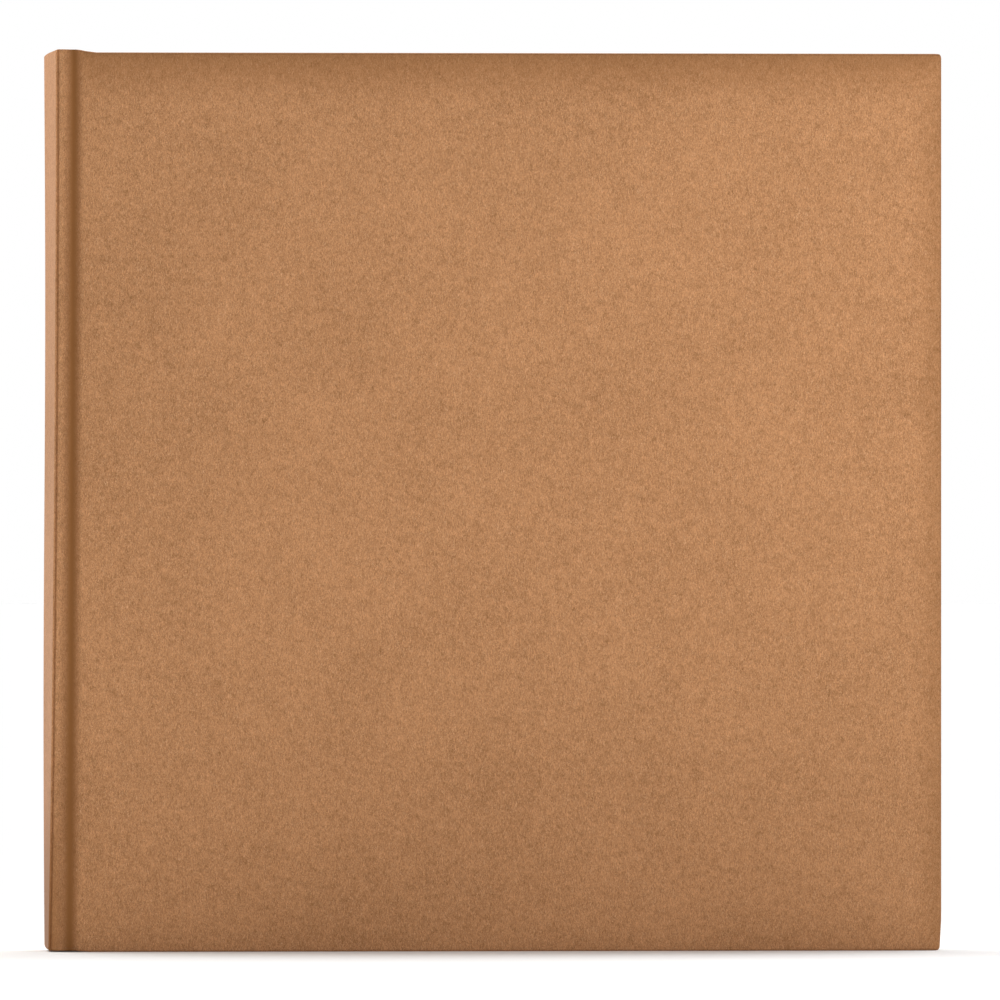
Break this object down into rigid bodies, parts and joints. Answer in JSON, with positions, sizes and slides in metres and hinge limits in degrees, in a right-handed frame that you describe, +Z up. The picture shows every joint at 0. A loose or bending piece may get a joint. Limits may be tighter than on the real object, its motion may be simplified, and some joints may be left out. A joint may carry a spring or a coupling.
{
  "type": "scrapbook album",
  "caption": "Square case-bound scrapbook album with paper-covered boards, French grooves, card leaves on guards and glassine interleaves.",
  "frame": {"origin": "centre of the closed album's footprint, on the surface that it stands on", "axes": "+Z up the spine from tail to head, +X from the spine to the fore-edge, -Y out of the front cover"},
  "size_m": [0.297, 0.038, 0.3],
  "materials": {
    "cover_paper": "copper-brown pearlescent covering paper, fine fibres, satin",
    "greyboard": "dense grey bookbinding board, matt",
    "kraft_liner": "brown kraft paper, matt",
    "mull": "open-weave starched cotton gauze",
    "end_band": "woven cotton band with cream and brown stripes",
    "guard_card": "off-white card, matt",
    "leaf_card": "off-white album card, matt, lightly toothed",
    "glassine": "translucent glassine tissue, smooth",
    "endpaper": "natural off-white endpaper, matt"
  },
  "bodies": {
    "binding": {"spine_board": "greyboard", "spine_cover_paper": "cover_paper", "spine_liner": "kraft_liner", "spine_mull": "mull", "head_band": "end_band", "tail_band": "end_band", "guard_strips": "guard_card", "leaf_stubs": "leaf_card"},
    "front_cover": {"front_board": "greyboard", "front_cover_paper": "cover_paper", "front_hinge_mull": "mull", "front_pastedown": "endpaper"},
    "back_cover": {"back_board": "greyboard", "back_cover_paper": "cover_paper", "back_hinge_mull": "mull", "back_pastedown": "endpaper"},
    "front_fly": {"front_flyleaf": "endpaper"},
    "back_fly": {"back_flyleaf": "endpaper"},
    "page_01": {"leaf_01": "leaf_card", "glassine_01": "glassine"},
    "page_02": {"leaf_02": "leaf_card", "glassine_02": "glassine"},
    "page_03": {"leaf_03": "leaf_card", "glassine_03": "glassine"},
    "page_04": {"leaf_04": "leaf_card", "glassine_04": "glassine"},
    "page_05": {"leaf_05": "leaf_card", "glassine_05": "glassine"},
    "page_06": {"leaf_06": "leaf_card", "glassine_06": "glassine"},
    "page_07": {"leaf_07": "leaf_card", "glassine_07": "glassine"},
    "page_08": {"leaf_08": "leaf_card", "glassine_08": "glassine"},
    "page_09": {"leaf_09": "leaf_card", "glassine_09": "glassine"},
    "page_10": {"leaf_10": "leaf_card", "glassine_10": "glassine"},
    "page_11": {"leaf_11": "leaf_card", "glassine_11": "glassine"},
    "page_12": {"leaf_12": "leaf_card", "glassine_12": "glassine"},
    "page_13": {"leaf_13": "leaf_card", "glassine_13": "glassine"},
    "page_14": {"leaf_14": "leaf_card", "glassine_14": "glassine"},
    "page_15": {"leaf_15": "leaf_card", "glassine_15": "glassine"},
    "page_16": {"leaf_16": "leaf_card", "glassine_16": "glassine"},
    "page_17": {"leaf_17": "leaf_card", "glassine_17": "glassine"},
    "page_18": {"leaf_18": "leaf_card", "glassine_18": "glassine"},
    "page_19": {"leaf_19": "leaf_card", "glassine_19": "glassine"},
    "page_20": {"leaf_20": "leaf_card", "glassine_20": "glassine"}
  },
  "joints": [
    {"name": "front_cover_open", "type": "hinge", "parent": "binding", "child": "front_cover", "pos_m": [-0.1425, -0.019, 0], "axis": [0, 0, -1], "range_deg": [0, 178]},
    {"name": "back_cover_open", "type": "hinge", "parent": "binding", "child": "back_cover", "pos_m": [-0.1425, 0.019, 0], "axis": [0, 0, 1], "range_deg": [0, 178]},
    {"name": "front_flyleaf_turn", "type": "hinge", "parent": "binding", "child": "front_fly", "pos_m": [-0.1323, -0.0156, 0], "axis": [0, 0, -1], "range_deg": [0, 88]},
    {"name": "back_flyleaf_turn", "type": "hinge", "parent": "binding", "child": "back_fly", "pos_m": [-0.1323, 0.0156, 0], "axis": [0, 0, 1], "range_deg": [0, 88]},
    {"name": "leaf_01_turn", "type": "hinge", "parent": "binding", "child": "page_01", "pos_m": [-0.1323, -0.01425, 0], "axis": [0, 0, -1], "range_deg": [0, 66]},
    {"name": "leaf_02_turn", "type": "hinge", "parent": "binding", "child": "page_02", "pos_m": [-0.1323, -0.01275, 0], "axis": [0, 0, -1], "range_deg": [0, 59.4]},
    {"name": "leaf_03_turn", "type": "hinge", "parent": "binding", "child": "page_03", "pos_m": [-0.1323, -0.01125, 0], "axis": [0, 0, -1], "range_deg": [0, 52.8]},
    {"name": "leaf_04_turn", "type": "hinge", "parent": "binding", "child": "page_04", "pos_m": [-0.1323, -0.00975, 0], "axis": [0, 0, -1], "range_deg": [0, 46.2]},
    {"name": "leaf_05_turn", "type": "hinge", "parent": "binding", "child": "page_05", "pos_m": [-0.1323, -0.00825, 0], "axis": [0, 0, -1], "range_deg": [0, 39.6]},
    {"name": "leaf_06_turn", "type": "hinge", "parent": "binding", "child": "page_06", "pos_m": [-0.1323, -0.00675, 0], "axis": [0, 0, -1], "range_deg": [0, 33]},
    {"name": "leaf_07_turn", "type": "hinge", "parent": "binding", "child": "page_07", "pos_m": [-0.1323, -0.00525, 0], "axis": [0, 0, -1], "range_deg": [0, 26.4]},
    {"name": "leaf_08_turn", "type": "hinge", "parent": "binding", "child": "page_08", "pos_m": [-0.1323, -0.00375, 0], "axis": [0, 0, -1], "range_deg": [0, 19.8]},
    {"name": "leaf_09_turn", "type": "hinge", "parent": "binding", "child": "page_09", "pos_m": [-0.1323, -0.00225, 0], "axis": [0, 0, -1], "range_deg": [0, 13.2]},
    {"name": "leaf_10_turn", "type": "hinge", "parent": "binding", "child": "page_10", "pos_m": [-0.1323, -0.00075, 0], "axis": [0, 0, -1], "range_deg": [0, 6.6]},
    {"name": "leaf_11_turn", "type": "hinge", "parent": "binding", "child": "page_11", "pos_m": [-0.1323, 0.00075, 0], "axis": [0, 0, 1], "range_deg": [0, 6.6]},
    {"name": "leaf_12_turn", "type": "hinge", "parent": "binding", "child": "page_12", "pos_m": [-0.1323, 0.00225, 0], "axis": [0, 0, 1], "range_deg": [0, 13.2]},
    {"name": "leaf_13_turn", "type": "hinge", "parent": "binding", "child": "page_13", "pos_m": [-0.1323, 0.00375, 0], "axis": [0, 0, 1], "range_deg": [0, 19.8]},
    {"name": "leaf_14_turn", "type": "hinge", "parent": "binding", "child": "page_14", "pos_m": [-0.1323, 0.00525, 0], "axis": [0, 0, 1], "range_deg": [0, 26.4]},
    {"name": "leaf_15_turn", "type": "hinge", "parent": "binding", "child": "page_15", "pos_m": [-0.1323, 0.00675, 0], "axis": [0, 0, 1], "range_deg": [0, 33]},
    {"name": "leaf_16_turn", "type": "hinge", "parent": "binding", "child": "page_16", "pos_m": [-0.1323, 0.00825, 0], "axis": [0, 0, 1], "range_deg": [0, 39.6]},
    {"name": "leaf_17_turn", "type": "hinge", "parent": "binding", "child": "page_17", "pos_m": [-0.1323, 0.00975, 0], "axis": [0, 0, 1], "range_deg": [0, 46.2]},
    {"name": "leaf_18_turn", "type": "hinge", "parent": "binding", "child": "page_18", "pos_m": [-0.1323, 0.01125, 0], "axis": [0, 0, 1], "range_deg": [0, 52.8]},
    {"name": "leaf_19_turn", "type": "hinge", "parent": "binding", "child": "page_19", "pos_m": [-0.1323, 0.01275, 0], "axis": [0, 0, 1], "range_deg": [0, 59.4]},
    {"name": "leaf_20_turn", "type": "hinge", "parent": "binding", "child": "page_20", "pos_m": [-0.1323, 0.01425, 0], "axis": [0, 0, 1], "range_deg": [0, 66]}
  ],
  "couplings": [
    {"joint": "front_flyleaf_turn", "follows": "front_cover_open", "ratio": 0.49438},
    {"joint": "back_flyleaf_turn", "follows": "back_cover_open", "ratio": 0.49438},
    {"joint": "leaf_01_turn", "follows": "front_cover_open", "ratio": 0.37079},
    {"joint": "leaf_02_turn", "follows": "front_cover_open", "ratio": 0.33371},
    {"joint": "leaf_03_turn", "follows": "front_cover_open", "ratio": 0.29663},
    {"joint": "leaf_04_turn", "follows": "front_cover_open", "ratio": 0.25955},
    {"joint": "leaf_05_turn", "follows": "front_cover_open", "ratio": 0.22247},
    {"joint": "leaf_06_turn", "follows": "front_cover_open", "ratio": 0.18539},
    {"joint": "leaf_07_turn", "follows": "front_cover_open", "ratio": 0.14832},
    {"joint": "leaf_08_turn", "follows": "front_cover_open", "ratio": 0.11124},
    {"joint": "leaf_09_turn", "follows": "front_cover_open", "ratio": 0.074157},
    {"joint": "leaf_10_turn", "follows": "front_cover_open", "ratio": 0.037079},
    {"joint": "leaf_11_turn", "follows": "back_cover_open", "ratio": 0.037079},
    {"joint": "leaf_12_turn", "follows": "back_cover_open", "ratio": 0.074157},
    {"joint": "leaf_13_turn", "follows": "back_cover_open", "ratio": 0.11124},
    {"joint": "leaf_14_turn", "follows": "back_cover_open", "ratio": 0.14832},
    {"joint": "leaf_15_turn", "follows": "back_cover_open", "ratio": 0.18539},
    {"joint": "leaf_16_turn", "follows": "back_cover_open", "ratio": 0.22247},
    {"joint": "leaf_17_turn", "follows": "back_cover_open", "ratio": 0.25955},
    {"joint": "leaf_18_turn", "follows": "back_cover_open", "ratio": 0.29663},
    {"joint": "leaf_19_turn", "follows": "back_cover_open", "ratio": 0.33371},
    {"joint": "leaf_20_turn", "follows": "back_cover_open", "ratio": 0.37079}
  ]
}
